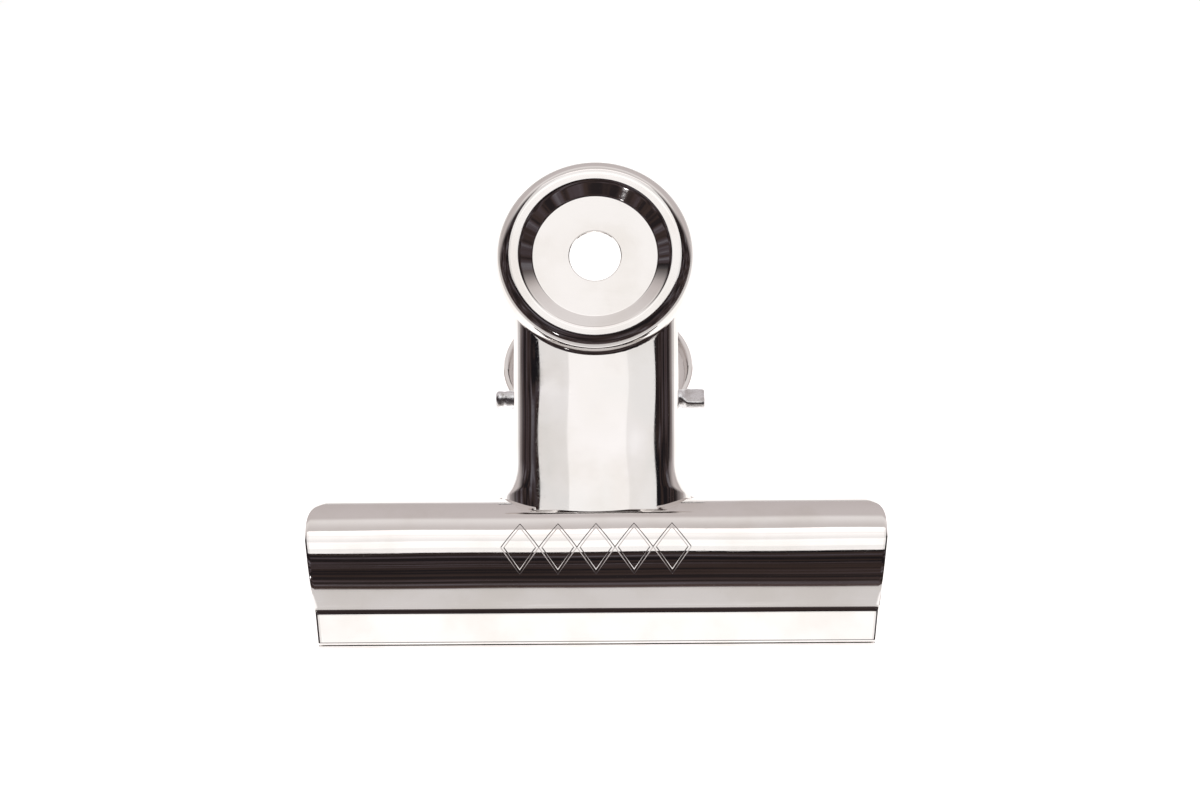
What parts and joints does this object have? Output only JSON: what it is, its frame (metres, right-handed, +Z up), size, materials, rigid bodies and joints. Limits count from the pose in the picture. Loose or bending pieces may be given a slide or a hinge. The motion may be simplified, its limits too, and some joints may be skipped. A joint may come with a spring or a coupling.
{
  "type": "bulldog letter clip",
  "caption": "Nickel-plated bulldog letter clip: wide rolled jaws, channel necks with ears on a pivot pin, dished round thumb discs with hanging holes, and a torsion spring inside.",
  "frame": {"origin": "middle of the bounding box's base: the surface the clip lies on, under the middle of the clip", "axes": "+X along the jaw's width, +Y from the jaws to the thumb discs, +Z up off the surface that the clip lies on"},
  "size_m": [0.075, 0.065, 0.0382],
  "materials": {
    "nickel_front": "bright nickel plate",
    "nickel_rear": "bright nickel plate",
    "zinc_pin": "satin zinc plate",
    "spring_wire": "drawn spring wire"
  },
  "bodies": {
    "rear_half": {"rear_jaw": "nickel_rear", "pivot_pin": "zinc_pin", "torsion_spring": "spring_wire"},
    "front_half": {"front_jaw": "nickel_front"}
  },
  "joints": [
    {"name": "jaw_pivot", "type": "hinge", "parent": "rear_half", "child": "front_half", "pos_m": [0, 0.00291, 0.013], "axis": [-1, 0, 0], "range_deg": [0, 60], "stiffness_Nm_per_rad": 0.6, "springref_deg": -68.75, "deforming": ["torsion_spring"]}
  ]
}
